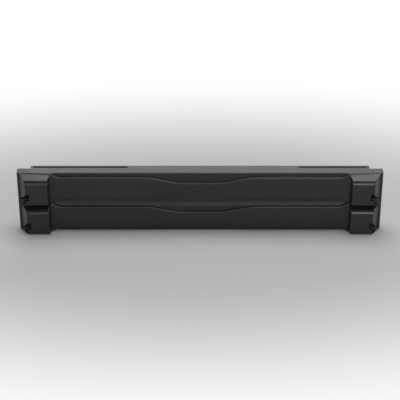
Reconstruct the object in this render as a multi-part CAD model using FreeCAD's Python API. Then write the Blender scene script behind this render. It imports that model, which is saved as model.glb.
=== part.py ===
import FreeCAD, Part
import math
import os

Vector = FreeCAD.Vector
ALONG = Vector(1, 0, 0)
BACK = Vector(0, 1, 0)
UP = Vector(0, 0, 1)

# All sizes are in millimetres. X runs along the panel, Y from its face to its back, Z upwards.
# The origin is on the plane where the ears meet the rack rails, half way along and half way up.

# Rack standard: each rail is as wide as the panel overlaps it, and has a column of square holes
UNIT_HEIGHT = 44.45
UNIT_COUNT = 2
PANEL_WIDTH = 482.6
RAIL_WIDTH = 16.3
RAIL_THICKNESS = 2.5
HOLE_INSET = 8.75
HOLE_RISE = 6.35
HOLE_WIDTH = 9.5

# Fits
UNIT_CLEARANCE = 0.4
OPENING_CLEARANCE = 1.0
LATCH_SIDE_CLEARANCE = 0.75
LATCH_LIFT = 0.9
RAIL_CLEARANCE = 0.3

# Moulding
WALL = 2.2
EAR_DEPTH = 11.5
PAN_DEPTH = 7.7
CHIN_ROUND = 1.2
TOP_EDGE_ROUND = 0.6
EAR_EDGE_ROUND = 2.5
EAR_CORNER_ROUND = 4.5
EAR_TOP_ROUND = 2.0
PAN_CORNER_ROUND = 1.5
COVE_DEPTH = 1.2
COVE_RISE = 1.0
COVE_ROUND = 16.0

# Grooves along the rear edge of the top flange
GROOVE_DEPTH = 1.4
GROOVE_WIDTH = 3.0
GROOVE_SETBACK = 2.6
GROOVE_END = 4.0
GROOVE_LENGTH_LEFT = 124.0
GROOVE_LENGTH_RIGHT = 89.0

# Raised face of each unit
FACE_REACH = 3.5
LEDGE_HEIGHT = 5.6
WAIST_HEIGHT = 16.5
WAIST_LENGTH = 60.0
WAIST_RAMP = 37.0
WAIST_BLEND = 60.0
FLARE_LENGTH = 9.5
FLARE_BLEND = 8.0
FLARE_SETBACK = 4.0
FACE_EDGE_ROUND = 1.5

# End blocks
BLOCK_REACH = 13.5
BLOCK_WIDTH = 29.2
BLOCK_SETBACK = 11.8
BLOCK_OUTER_SLANT = 8.3
BLOCK_STEP = 0.7
BLOCK_SLOPE = math.radians(27.3)
BROW_ROUND = 7.0
FOOT_ROUND = 3.6
SHOULDER_REACH = 2.0
BLOCK_OUTER_ROUND = 3.0
BLOCK_INNER_ROUND = 0.5
FLANK_LEAN = 3.0
FLANK_DEPTH = 5.2
FLANK_ROUND = 12.0
FLANK_FOOT_ROUND = 1.2

# Latch pockets in the blocks, and latches
POCKET_WIDTH = 13.0
POCKET_BACK_HEIGHT = 7.3
POCKET_FRONT_HEIGHT = 19.2
POCKET_FLOOR = 1.2
POCKET_LIP = 8.4
LATCH_THICKNESS = 1.8
LATCH_REACH = 7.5
TAB_THICKNESS = 1.8
TAB_REACH = 2.6
TAB_SETBACK = 3.5
TAB_CORNER_ROUND = 2.4
TAB_EDGE_ROUND = 0.9
BARB_CATCH = 1.0
BARB_FLAT = 0.8

# Ribs behind the face
RIB_THICKNESS = 1.6
RIB_SETBACK = 3.0
RIB_COUNT = 9

# Positions that follow from the sizes above
EAR_FRONT = -EAR_DEPTH
FACE_FRONT = EAR_FRONT - FACE_REACH
BLOCK_FRONT = EAR_FRONT - BLOCK_REACH
ROOT = EAR_FRONT + 3 * WALL
HALF_WIDTH = PANEL_WIDTH / 2
HALF_PAN = HALF_WIDTH - RAIL_WIDTH - OPENING_CLEARANCE
HALF_HEIGHT = UNIT_HEIGHT * UNIT_COUNT / 2 - UNIT_CLEARANCE
UNIT_LOW = UNIT_CLEARANCE
UNIT_HIGH = UNIT_HEIGHT - UNIT_CLEARANCE
UNIT_MIDDLE = (UNIT_LOW + UNIT_HIGH) / 2
BLOCK_OUTER = HALF_WIDTH - BLOCK_SETBACK
BLOCK_INNER = BLOCK_OUTER - BLOCK_WIDTH
BLOCK_FOOT_OUTER = BLOCK_OUTER + BLOCK_OUTER_SLANT
FLANK_FOOT = BLOCK_INNER - FLANK_LEAN
FLANK_START = FLANK_FOOT - FLANK_FOOT_ROUND
FLARE_END = BLOCK_INNER - FLARE_SETBACK
FACE_END = FLARE_END + 1.5 * FACE_EDGE_ROUND
SHOULDER_END = HALF_WIDTH - EAR_EDGE_ROUND
POCKET_INNER = BLOCK_FOOT_OUTER - POCKET_WIDTH
LATCH_MIDDLE = HALF_WIDTH - HOLE_INSET
LATCH_WIDTH = HOLE_WIDTH - 2 * LATCH_SIDE_CLEARANCE
LATCH_FOOT = HOLE_RISE - HOLE_WIDTH / 2 + LATCH_LIFT
LATCH_TOP = LATCH_FOOT + LATCH_THICKNESS


def outline(corners, across, upward):
    """Closed wire through (a, b, round) corners, each corner rounded by its own radius."""
    points = [across * a + upward * b for a, b, _ in corners]
    runs = []
    for i, (_, _, radius) in enumerate(corners):
        corner = points[i]
        before = (points[i - 1] - corner).normalize()
        after = (points[(i + 1) % len(points)] - corner).normalize()
        if radius == 0:
            runs.append((corner, None, corner))
            continue
        half_angle = before.getAngle(after) / 2
        setback = radius / math.tan(half_angle)
        inward = (before + after).normalize()
        crown = corner + inward * (radius / math.sin(half_angle) - radius)
        runs.append((corner + before * setback, crown, corner + after * setback))
    edges = []
    for i, (start, crown, end) in enumerate(runs):
        if crown:
            edges.append(Part.Arc(start, crown, end).toShape())
        following = runs[(i + 1) % len(runs)][0]
        edges.append(Part.makeLine(end, following))
    return Part.Wire(edges)


def shrunk(wire, skin):
    """The wire moved inwards by the thickness of the skin around it."""
    if skin == 0:
        return wire
    return wire.makeOffset2D(-skin, join=2)


def prism(wire, axis, start, stop):
    """The wire, drawn on the axis at zero, swept along it from start to stop."""
    face = Part.Face(wire)
    face.translate(axis * start)
    return face.extrude(axis * (stop - start))


def box(x, y, z):
    """Block between the two ends given for each axis."""
    return Part.makeBox(x[1] - x[0], y[1] - y[0], z[1] - z[0], Vector(x[0], y[0], z[0]))


def both_sides(shape):
    return shape.fuse(shape.mirror(Vector(0, 0, 0), Vector(1, 0, 0)))


def every_unit(shape):
    """Copies of a shape drawn above Z = 0, one standing in each rack unit of the panel."""
    copies = []
    for i in range(UNIT_COUNT):
        copy = shape.copy()
        copy.translate(Vector(0, 0, UNIT_HEIGHT * (i - UNIT_COUNT / 2)))
        copies.append(copy)
    return copies[0].fuse(copies[1:])


def carcass_section():
    """Section through the tray, with a shallow cove in its front between the raised faces of two units."""
    corners = [(PAN_DEPTH, -HALF_HEIGHT, 0), (EAR_FRONT, -HALF_HEIGHT, CHIN_ROUND)]
    half_cove = UNIT_CLEARANCE + LEDGE_HEIGHT
    for i in range(1, UNIT_COUNT):
        boundary = UNIT_HEIGHT * (i - UNIT_COUNT / 2)
        corners += [(EAR_FRONT, boundary - half_cove, 0),
                    (EAR_FRONT + COVE_DEPTH, boundary + COVE_RISE, COVE_ROUND),
                    (EAR_FRONT, boundary + half_cove, 0)]
    corners += [(EAR_FRONT, HALF_HEIGHT, TOP_EDGE_ROUND), (PAN_DEPTH, HALF_HEIGHT, 0)]
    return outline(corners, BACK, UP)


def carcass_elevation():
    """Front outline of the tray, its lower corners rounded more than its upper ones."""
    corners = [(-HALF_WIDTH, -HALF_HEIGHT, EAR_CORNER_ROUND), (-HALF_WIDTH, HALF_HEIGHT, EAR_TOP_ROUND),
               (HALF_WIDTH, HALF_HEIGHT, EAR_TOP_ROUND), (HALF_WIDTH, -HALF_HEIGHT, EAR_CORNER_ROUND)]
    return outline(corners, ALONG, UP)


def carcass():
    """Tray behind the raised faces: ears that meet the rails, and a pan that enters the opening."""
    right = [(HALF_WIDTH, EAR_FRONT, EAR_EDGE_ROUND), (HALF_WIDTH, 0, 0), (HALF_PAN, 0, 0),
             (HALF_PAN, PAN_DEPTH, PAN_CORNER_ROUND)]
    left = [(-x, y, r) for x, y, r in reversed(right)]
    plan = prism(outline(right + left, ALONG, BACK), UP, -HALF_HEIGHT, HALF_HEIGHT)
    section = prism(carcass_section(), ALONG, -HALF_WIDTH, HALF_WIDTH)
    return plan.common(section).common(prism(carcass_elevation(), BACK, EAR_FRONT, PAN_DEPTH))


def carcass_hollow():
    """Inside of the tray, open at the back: the pan, and a space behind each ear."""
    inside = prism(shrunk(carcass_section(), WALL), ALONG, -HALF_WIDTH, HALF_WIDTH)
    space = inside.BoundBox
    mouth = box((space.XMin, space.XMax), (space.YMax - WALL, PAN_DEPTH + WALL), (space.ZMin, space.ZMax))
    elevation = prism(shrunk(carcass_elevation(), WALL), BACK, EAR_FRONT, PAN_DEPTH + WALL)
    end_wall = box((HALF_PAN - WALL, HALF_PAN), (EAR_FRONT, PAN_DEPTH), (-HALF_HEIGHT, HALF_HEIGHT))
    return inside.fuse(mouth).common(elevation).cut(both_sides(end_wall))


def grooves():
    """Two shallow grooves in the top flange, just in front of its rear edge, the left one longer."""
    back = PAN_DEPTH - GROOVE_SETBACK
    depth = (back - GROOVE_WIDTH, back)
    height = (HALF_HEIGHT - GROOVE_DEPTH, HALF_HEIGHT)
    end = HALF_PAN - GROOVE_END
    return [box((-end, GROOVE_LENGTH_LEFT - end), depth, height),
            box((end - GROOVE_LENGTH_RIGHT, end), depth, height)]


def flared(end, skin):
    """Upper right quarter of a unit's outline: narrow waist, full face, then a flare to the unit's edge."""
    half_waist = WAIST_HEIGHT / 2 - skin
    half_unit = (UNIT_HIGH - UNIT_LOW) / 2 - skin
    half_face = half_unit - LEDGE_HEIGHT
    return [(WAIST_LENGTH / 2, half_waist, WAIST_BLEND),
            (WAIST_LENGTH / 2 + WAIST_RAMP, half_face, WAIST_BLEND),
            (FLARE_END - FLARE_LENGTH, half_face, FLARE_BLEND),
            (FLARE_END, half_unit, 0), (end, half_unit, 0)]


def unit_prism(quarter, front, back):
    """Outline given by its upper right quarter, mirrored both ways and set in the middle of the unit."""
    upper = [(-x, z, r) for x, z, r in reversed(quarter)] + quarter
    corners = upper + [(x, -z, r) for x, z, r in reversed(upper)]
    solid = prism(outline(corners, ALONG, UP), BACK, front, back)
    solid.translate(UP * UNIT_MIDDLE)
    return solid


def raised_face(skin):
    """Proud face of one unit, as high as the unit where it meets the blocks."""
    return unit_prism(flared(FACE_END, skin), FACE_FRONT + skin, ROOT - skin)


def rounded_front(face):
    """Raised face with its front edge rounded."""
    front = [e for e in face.Edges if e.BoundBox.YMax < FACE_FRONT + FACE_EDGE_ROUND / 2]
    return face.makeFillet(FACE_EDGE_ROUND, front)


def block_section():
    """Side section of a block: rounded foot, upright front, rounded brow, slope up to a small step."""
    slope_top = UNIT_HIGH - BLOCK_STEP
    brow = slope_top - BLOCK_REACH * math.tan(BLOCK_SLOPE)
    rear = slope_top + (ROOT - EAR_FRONT) * math.tan(BLOCK_SLOPE)
    corners = [(ROOT, UNIT_LOW, 0), (BLOCK_FRONT, UNIT_LOW, FOOT_ROUND), (BLOCK_FRONT, brow, BROW_ROUND),
               (ROOT, rear, 0)]
    return outline(corners, BACK, UP)


def end_block(skin):
    """Right-hand block of one unit: its inner flank bends out to meet the face, its outer side slants."""
    flank = [(FLANK_START, ROOT, 0), (FLANK_START, FACE_FRONT, 0), (FLANK_FOOT, FACE_FRONT, FLANK_FOOT_ROUND),
             (BLOCK_INNER, FACE_FRONT - FLANK_DEPTH, FLANK_ROUND)]
    corners = flank + [(BLOCK_INNER, BLOCK_FRONT, BLOCK_INNER_ROUND),
                       (BLOCK_OUTER, BLOCK_FRONT, BLOCK_OUTER_ROUND),
                       (BLOCK_FOOT_OUTER, EAR_FRONT, 0), (BLOCK_FOOT_OUTER, ROOT, 0)]
    plan = prism(shrunk(outline(corners, ALONG, BACK), skin), UP, 0, UNIT_HEIGHT)
    side = prism(shrunk(block_section(), skin), ALONG, FLANK_START, HALF_WIDTH)
    return plan.common(side).common(unit_prism(flared(HALF_WIDTH, skin), BLOCK_FRONT, ROOT))


def shoulder(skin):
    """Wedge under the block's slope that carries the top edge from the raised face out to the ear."""
    corners = [(FLARE_END, ROOT, 0), (FLARE_END, EAR_FRONT - SHOULDER_REACH, 0), (SHOULDER_END, EAR_FRONT, 0),
               (SHOULDER_END, ROOT, 0)]
    return prism(shrunk(outline(corners, ALONG, BACK), skin), UP, UNIT_LOW + skin, UNIT_HIGH - skin)


def pocket(skin):
    """Scoop in the block's lower outer corner: back level with the raised face, ceiling rising forwards."""
    ahead = BLOCK_FRONT - WALL
    rise = (POCKET_FRONT_HEIGHT - POCKET_BACK_HEIGHT) / (FACE_FRONT - BLOCK_FRONT)
    back = FACE_FRONT + skin
    floor = UNIT_LOW if skin else UNIT_LOW + POCKET_FLOOR
    corners = [(back, floor, 0), (back, POCKET_BACK_HEIGHT + skin, 0),
               (ahead, POCKET_BACK_HEIGHT + skin + rise * (back - ahead), 0), (ahead, floor, 0)]
    return prism(outline(corners, BACK, UP), ALONG, POCKET_INNER - skin, HALF_WIDTH)


def pocket_lip():
    """Low wall left standing across the front of a pocket, under the block's front face."""
    side = (POCKET_INNER, BLOCK_OUTER)
    return end_block(0).common(box(side, (BLOCK_FRONT, BLOCK_FRONT + WALL), (UNIT_LOW, POCKET_LIP)))


def latch_tab():
    """Finger tab that stands out of the pocket's back, level with the foot of its ceiling."""
    outer = HALF_WIDTH - TAB_SETBACK
    front = FACE_FRONT - TAB_REACH
    rear = EAR_FRONT + WALL
    foot = POCKET_BACK_HEIGHT - TAB_THICKNESS
    corners = [(POCKET_INNER, rear, 0), (POCKET_INNER, front, 0), (outer, front, TAB_CORNER_ROUND),
               (outer, rear, 0)]
    plan = prism(outline(corners, ALONG, BACK), UP, foot, POCKET_BACK_HEIGHT)
    section = [(rear, foot, 0), (front, foot, 0), (front, POCKET_BACK_HEIGHT, TAB_EDGE_ROUND),
               (rear, POCKET_BACK_HEIGHT, 0)]
    return plan.common(prism(outline(section, BACK, UP), ALONG, POCKET_INNER, outer))


def latch():
    """Flat spring from the ear back through the rail's square hole, hooked under the hole's lower edge."""
    catch = RAIL_THICKNESS + RAIL_CLEARANCE
    tip = HOLE_RISE - HOLE_WIDTH / 2 - BARB_CATCH
    corners = [(EAR_FRONT + WALL / 2, LATCH_TOP, 0), (EAR_FRONT + WALL / 2, LATCH_FOOT, 0),
               (catch, LATCH_FOOT, 0), (catch, tip, 0), (catch + BARB_FLAT, tip, 0),
               (LATCH_REACH, LATCH_FOOT, 0), (LATCH_REACH, LATCH_TOP, 0)]
    half = LATCH_WIDTH / 2
    return prism(outline(corners, BACK, UP), ALONG, LATCH_MIDDLE - half, LATCH_MIDDLE + half)


def ribs():
    """Upright ribs across the pan and one level rib behind each boundary between units."""
    half = RIB_THICKNESS / 2
    depth = (BLOCK_FRONT, PAN_DEPTH - RIB_SETBACK)
    pitch = 2 * HALF_PAN / (RIB_COUNT + 1)
    slabs = []
    for i in range(RIB_COUNT):
        x = pitch * (i + 1) - HALF_PAN
        slabs.append(box((x - half, x + half), depth, (-HALF_HEIGHT, HALF_HEIGHT)))
    for i in range(1, UNIT_COUNT):
        z = UNIT_HEIGHT * (i - UNIT_COUNT / 2)
        slabs.append(box((-HALF_PAN, HALF_PAN), depth, (z - half, z + half)))
    return slabs


def at_each_end(shape):
    """Copies of a right-hand shape at both ends of every unit."""
    return every_unit(both_sides(shape))


def panel():
    outside = carcass().fuse([every_unit(rounded_front(raised_face(0))), at_each_end(end_block(0)),
                              at_each_end(shoulder(0))])
    outside = outside.cut([at_each_end(pocket(0))] + grooves())
    hollow = carcass_hollow().fuse([every_unit(raised_face(WALL)), at_each_end(end_block(WALL)),
                                    at_each_end(shoulder(WALL))])
    hollow = hollow.cut(at_each_end(pocket(WALL)))
    stiffeners = [outside.common(slab) for slab in ribs()]
    fittings = [at_each_end(part) for part in (pocket_lip(), latch_tab(), latch())]
    return outside.cut(hollow).fuse(stiffeners + fittings).removeSplitter()


os.makedirs("parts", exist_ok=True)
panel().exportStep("parts/panel.step")
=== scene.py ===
import math

import bpy
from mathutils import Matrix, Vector


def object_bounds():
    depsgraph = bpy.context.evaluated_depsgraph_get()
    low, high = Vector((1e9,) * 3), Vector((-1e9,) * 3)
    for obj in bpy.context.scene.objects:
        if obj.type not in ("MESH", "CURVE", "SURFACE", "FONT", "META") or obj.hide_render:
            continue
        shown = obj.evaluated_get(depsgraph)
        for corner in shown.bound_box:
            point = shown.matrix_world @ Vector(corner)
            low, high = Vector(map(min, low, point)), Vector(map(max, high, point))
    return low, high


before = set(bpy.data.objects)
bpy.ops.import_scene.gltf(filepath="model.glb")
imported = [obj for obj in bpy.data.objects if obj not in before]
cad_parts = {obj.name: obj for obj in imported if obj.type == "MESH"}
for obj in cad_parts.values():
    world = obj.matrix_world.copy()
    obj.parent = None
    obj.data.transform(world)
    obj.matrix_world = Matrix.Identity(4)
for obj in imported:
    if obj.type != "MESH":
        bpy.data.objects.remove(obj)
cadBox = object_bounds()
scene = bpy.context.scene
print("frame loaded:", sorted(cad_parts))


def toLinear(hexColour):
    parts = [int(hexColour[i:i + 2], 16) / 255 for i in (1, 3, 5)]
    return [p / 12.92 if p <= 0.04045 else ((p + 0.055) / 1.055) ** 2.4 for p in parts] + [1]


def addNode(tree, kind, settings=None, values=None, links=None):
    node = tree.nodes.new(kind)
    for name, value in (settings or {}).items():
        setattr(node, name, value)
    for name, value in (values or {}).items():
        node.inputs[name].default_value = value
    for name, source in (links or {}).items():
        tree.links.new(source, node.inputs[name])
    return node


def newMaterial(name):
    material = bpy.data.materials.new(name)
    material.use_nodes = True
    material.node_tree.nodes.clear()
    return material, material.node_tree


# Black ABS from a spark-eroded mould: a dark body colour under a satin skin that mirrors softly,
# with a fine grain, slow changes of gloss and edges rubbed a little paler
plastic = {
    "colour": "#181819",
    "ior": 1.465,   # ABS is about 1.54, taken down to match the panel's dark faces
    "roughness": (0.26, 0.36),
    "cloudSize": 0.045,   # metres from one patch of gloss to the next
    "cloudDetail": 4.0,
    "cloudMix": 0.6,
    "cloudRange": (0.3, 0.7),
    "grainSize": 0.0011,   # the real grain is about 0.3 mm, drawn coarser so that it shows
    "grainDetail": 2.0,
    "grainMix": 0.5,
    "grainDepth": 0.00001,
    "grainStrength": 0.35,
    "rubbed": "#3c3c3e",
    "edgeRadius": 0.0009,
    "edgeSamples": 6,
    "edgeTurn": (0.995, 0.8),   # cosine of the turn where rubbing starts and where it is full
    "handDepth": 0.012,   # recesses that fingers and shelves don't reach keep their edges unrubbed
    "handSamples": 8,
    "handOpen": (0.7, 0.95),   # share of open air where rubbing starts and where it is full
}


def mouldedAbs():
    material, tree = newMaterial("abs_black_moulded_satin")
    place = addNode(tree, "ShaderNodeTexCoord").outputs["Object"]
    # gloss and grain
    cloud = addNode(tree, "ShaderNodeTexNoise",
                    values={"Scale": 1 / plastic["cloudSize"], "Detail": plastic["cloudDetail"],
                            "Roughness": plastic["cloudMix"]}, links={"Vector": place})
    gloss = addNode(tree, "ShaderNodeMapRange",
                    values={"From Min": plastic["cloudRange"][0], "From Max": plastic["cloudRange"][1],
                            "To Min": plastic["roughness"][0], "To Max": plastic["roughness"][1]},
                    links={"Value": cloud.outputs["Fac"]})
    grain = addNode(tree, "ShaderNodeTexNoise",
                    values={"Scale": 1 / plastic["grainSize"], "Detail": plastic["grainDetail"],
                            "Roughness": plastic["grainMix"]}, links={"Vector": place})
    # edges that turn, where hands reach them
    edge = addNode(tree, "ShaderNodeBevel", {"samples": plastic["edgeSamples"]},
                   {"Radius": plastic["edgeRadius"]})
    flat = addNode(tree, "ShaderNodeNewGeometry")
    agree = addNode(tree, "ShaderNodeVectorMath", {"operation": "DOT_PRODUCT"},
                    links={0: edge.outputs["Normal"], 1: flat.outputs["Normal"]})
    rub = addNode(tree, "ShaderNodeMapRange",
                  values={"From Min": plastic["edgeTurn"][0], "From Max": plastic["edgeTurn"][1]},
                  links={"Value": agree.outputs["Value"]})
    reach = addNode(tree, "ShaderNodeAmbientOcclusion",
                    {"samples": plastic["handSamples"], "only_local": True},
                    {"Distance": plastic["handDepth"]})
    proud = addNode(tree, "ShaderNodeMapRange",
                    values={"From Min": plastic["handOpen"][0], "From Max": plastic["handOpen"][1]},
                    links={"Value": reach.outputs["AO"]})
    wear = addNode(tree, "ShaderNodeMath", {"operation": "MULTIPLY"},
                   links={0: rub.outputs["Result"], 1: proud.outputs["Result"]})
    colour = addNode(tree, "ShaderNodeMix", {"data_type": "RGBA"},
                     {6: toLinear(plastic["colour"]), 7: toLinear(plastic["rubbed"])},
                     {0: wear.outputs["Value"]})
    bump = addNode(tree, "ShaderNodeBump",
                   values={"Strength": plastic["grainStrength"], "Distance": plastic["grainDepth"]},
                   links={"Height": grain.outputs["Fac"], "Normal": edge.outputs["Normal"]})
    skin = addNode(tree, "ShaderNodeBsdfPrincipled", values={"IOR": plastic["ior"]},
                   links={"Base Color": colour.outputs[2], "Roughness": gloss.outputs["Result"],
                          "Normal": bump.outputs["Normal"]})
    addNode(tree, "ShaderNodeOutputMaterial", links={"Surface": skin.outputs["BSDF"]})
    return material


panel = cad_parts["panel"]
panel.data.materials.clear()
panel.data.materials.append(mouldedAbs())
print("panel: moulded black ABS")

# Camera: a long lens from above the front, square to the middle of the face
shot = {
    "from": (0, -0.0115, 0),
    "aim": (0, -0.0115, 0.0025),
    "elevation": 31.3,
    "distance": 1.922,
    "lens": 130.2,
    "sensor": 36,
}
tilt = math.radians(shot["elevation"])
cameraData = bpy.data.cameras.new("camera")
cameraData.lens = shot["lens"]
cameraData.sensor_width = shot["sensor"]
camera = bpy.data.objects.new("camera", cameraData)
scene.collection.objects.link(camera)
backOff = shot["distance"] * Vector((0, -math.cos(tilt), math.sin(tilt)))
camera.location = Vector(shot["from"]) + backOff
look = Vector(shot["aim"]) - camera.location
camera.rotation_euler = look.to_track_quat("-Z", "Y").to_euler()
scene.camera = camera
print("camera set")

# Matt painted floor that the panel stands on: pale paint that keeps the soft shadow and runs out
# to plain white. The camera and the panel's own reflections see the same floor
ground = {
    "half": 40.0,
    "gap": 0.0001,   # keeps the floor clear of the panel's underside
    "paint": "#b8b8b8",
    "white": "#ffffff",
    "whiteStrength": 1.0,
    "fadeShape": (0.5, 1.0, 0.0),   # the fade is twice as long as deep
    "fadeFrom": 0.14,
    "fadeTo": 0.45,
}


def floor():
    half, low = ground["half"], cadBox[0][2] - ground["gap"]
    corners = [(-half, -half, low), (half, -half, low), (half, half, low), (-half, half, low)]
    mesh = bpy.data.meshes.new("floor")
    mesh.from_pydata(corners, [], [(0, 1, 2, 3)])
    sheet = bpy.data.objects.new("floor", mesh)
    scene.collection.objects.link(sheet)
    material, tree = newMaterial("floor_pale_matt_paint")
    place = addNode(tree, "ShaderNodeTexCoord").outputs["Object"]
    shaped = addNode(tree, "ShaderNodeVectorMath", {"operation": "MULTIPLY"},
                     {1: ground["fadeShape"]}, {0: place})
    away = addNode(tree, "ShaderNodeVectorMath", {"operation": "LENGTH"},
                   links={0: shaped.outputs["Vector"]})
    fade = addNode(tree, "ShaderNodeMapRange", {"interpolation_type": "SMOOTHSTEP"},
                   {"From Min": ground["fadeFrom"], "From Max": ground["fadeTo"]},
                   {"Value": away.outputs["Value"]})
    # only what is looked at or mirrored turns white, so the white adds no light
    ray = addNode(tree, "ShaderNodeLightPath")
    mirrored = addNode(tree, "ShaderNodeMath", {"operation": "MAXIMUM"},
                       links={0: ray.outputs["Is Glossy Ray"], 1: ray.outputs["Is Transmission Ray"]})
    sight = addNode(tree, "ShaderNodeMath", {"operation": "MAXIMUM"},
                    links={0: ray.outputs["Is Camera Ray"], 1: mirrored.outputs["Value"]})
    share = addNode(tree, "ShaderNodeMath", {"operation": "MULTIPLY"},
                    links={0: fade.outputs["Result"], 1: sight.outputs["Value"]})
    paint = addNode(tree, "ShaderNodeBsdfDiffuse", values={"Color": toLinear(ground["paint"])})
    glow = addNode(tree, "ShaderNodeEmission",
                   values={"Color": toLinear(ground["white"]), "Strength": ground["whiteStrength"]})
    both = addNode(tree, "ShaderNodeMixShader",
                   links={0: share.outputs["Value"], 1: paint.outputs["BSDF"],
                          2: glow.outputs["Emission"]})
    addNode(tree, "ShaderNodeOutputMaterial", links={"Surface": both.outputs["Shader"]})
    mesh.materials.append(material)


floor()
print("floor set")

# Soft boxes: one overhead for the slopes, one behind for the top flange, two low in front that draw
# the lit lines on the brows, the right one stronger, and a broad weak one from the left
lamps = {
    "overhead": {"at": (0.04, 0.20, 1.3), "aim": (0, 0.1, 0), "size": (1.5, 0.8), "level": 4.1},
    "behind": {"at": (0.0, 1.30, 0.80), "aim": (0, 0, 0.04), "size": (1.1, 0.7), "level": 2.15},
    "frontLeft": {"at": (-0.45, -1.45, 0.28), "aim": (-0.1, -0.02, 0), "size": (0.9, 0.75),
                  "level": 0.65},
    "frontRight": {"at": (0.45, -1.45, 0.28), "aim": (0.1, -0.02, 0), "size": (0.9, 0.75),
                   "level": 4.1},
    "left": {"at": (-1.40, -0.75, 0.30), "aim": (-0.1, -0.02, 0), "size": (1.6, 1.2), "level": 0.3},
}
for name, lamp in lamps.items():
    data = bpy.data.lights.new(name, "AREA")
    data.shape = "RECTANGLE"
    data.size, data.size_y = lamp["size"]
    data.energy = lamp["level"] * math.pi * data.size * data.size_y   # level is the box's brightness
    light = bpy.data.objects.new(name, data)
    light.location = lamp["at"]
    beam = Vector(lamp["aim"]) - Vector(lamp["at"])
    light.rotation_euler = beam.to_track_quat("-Z", "Y").to_euler()
    light.visible_camera = False
    scene.collection.objects.link(light)

# Plain room, the same to every ray: a white backdrop near the horizon, shading to a grey ceiling
room = {"colour": "#ffffff", "low": 1.0, "high": 0.18, "fadeFrom": 0.14, "fadeTo": 0.40}
world = bpy.data.worlds.new("room")
scene.world = world
world.use_nodes = True
air = world.node_tree
air.nodes.clear()
heading = addNode(air, "ShaderNodeTexCoord").outputs["Generated"]
compass = addNode(air, "ShaderNodeSeparateXYZ", links={"Vector": heading})
dim = addNode(air, "ShaderNodeMapRange", {"interpolation_type": "SMOOTHSTEP"},
              {"From Min": room["fadeFrom"], "From Max": room["fadeTo"],
               "To Min": room["low"], "To Max": room["high"]}, {"Value": compass.outputs["Z"]})
backdrop = addNode(air, "ShaderNodeBackground", values={"Color": toLinear(room["colour"])},
                   links={"Strength": dim.outputs["Result"]})
addNode(air, "ShaderNodeOutputWorld", links={"Surface": backdrop.outputs["Background"]})
scene.view_settings.view_transform = "Standard"
print("lights set")
